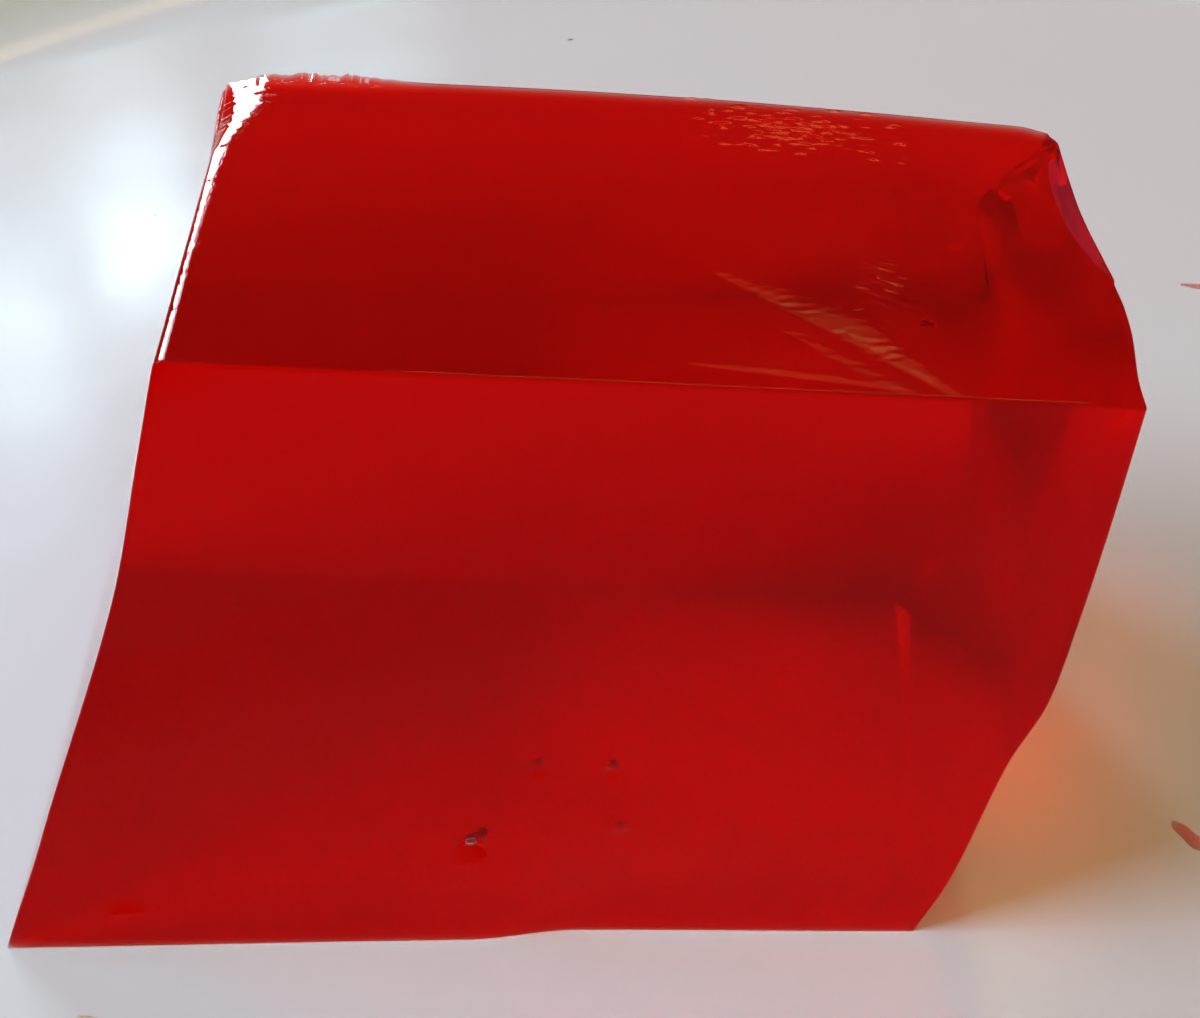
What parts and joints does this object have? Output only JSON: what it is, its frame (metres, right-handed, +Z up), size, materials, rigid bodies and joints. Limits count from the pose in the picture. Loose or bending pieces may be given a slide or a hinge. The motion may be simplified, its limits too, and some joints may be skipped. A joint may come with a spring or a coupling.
{
  "type": "moulded jelly on a plate",
  "caption": "Hand-cut block of clear red moulded jelly with leaning cut sides, standing on a plain round glazed plate with a shallow curved wall and a foot ring.",
  "frame": {"origin": "centre of the plate's foot ring, on the surface the plate stands on", "axes": "+Z up; -Y is the side that the jelly's tall front cut faces, +X is the side that the jelly leans to"},
  "size_m": [0.2098, 0.2098, 0.0375],
  "materials": {
    "redJelly": "clear deep red jelly with a wet, smooth cut surface",
    "glazedCeramic": "glossy white glaze"
  },
  "bodies": {
    "root": {"jelly": "redJelly", "plate": "glazedCeramic"}
  },
  "joints": []
}
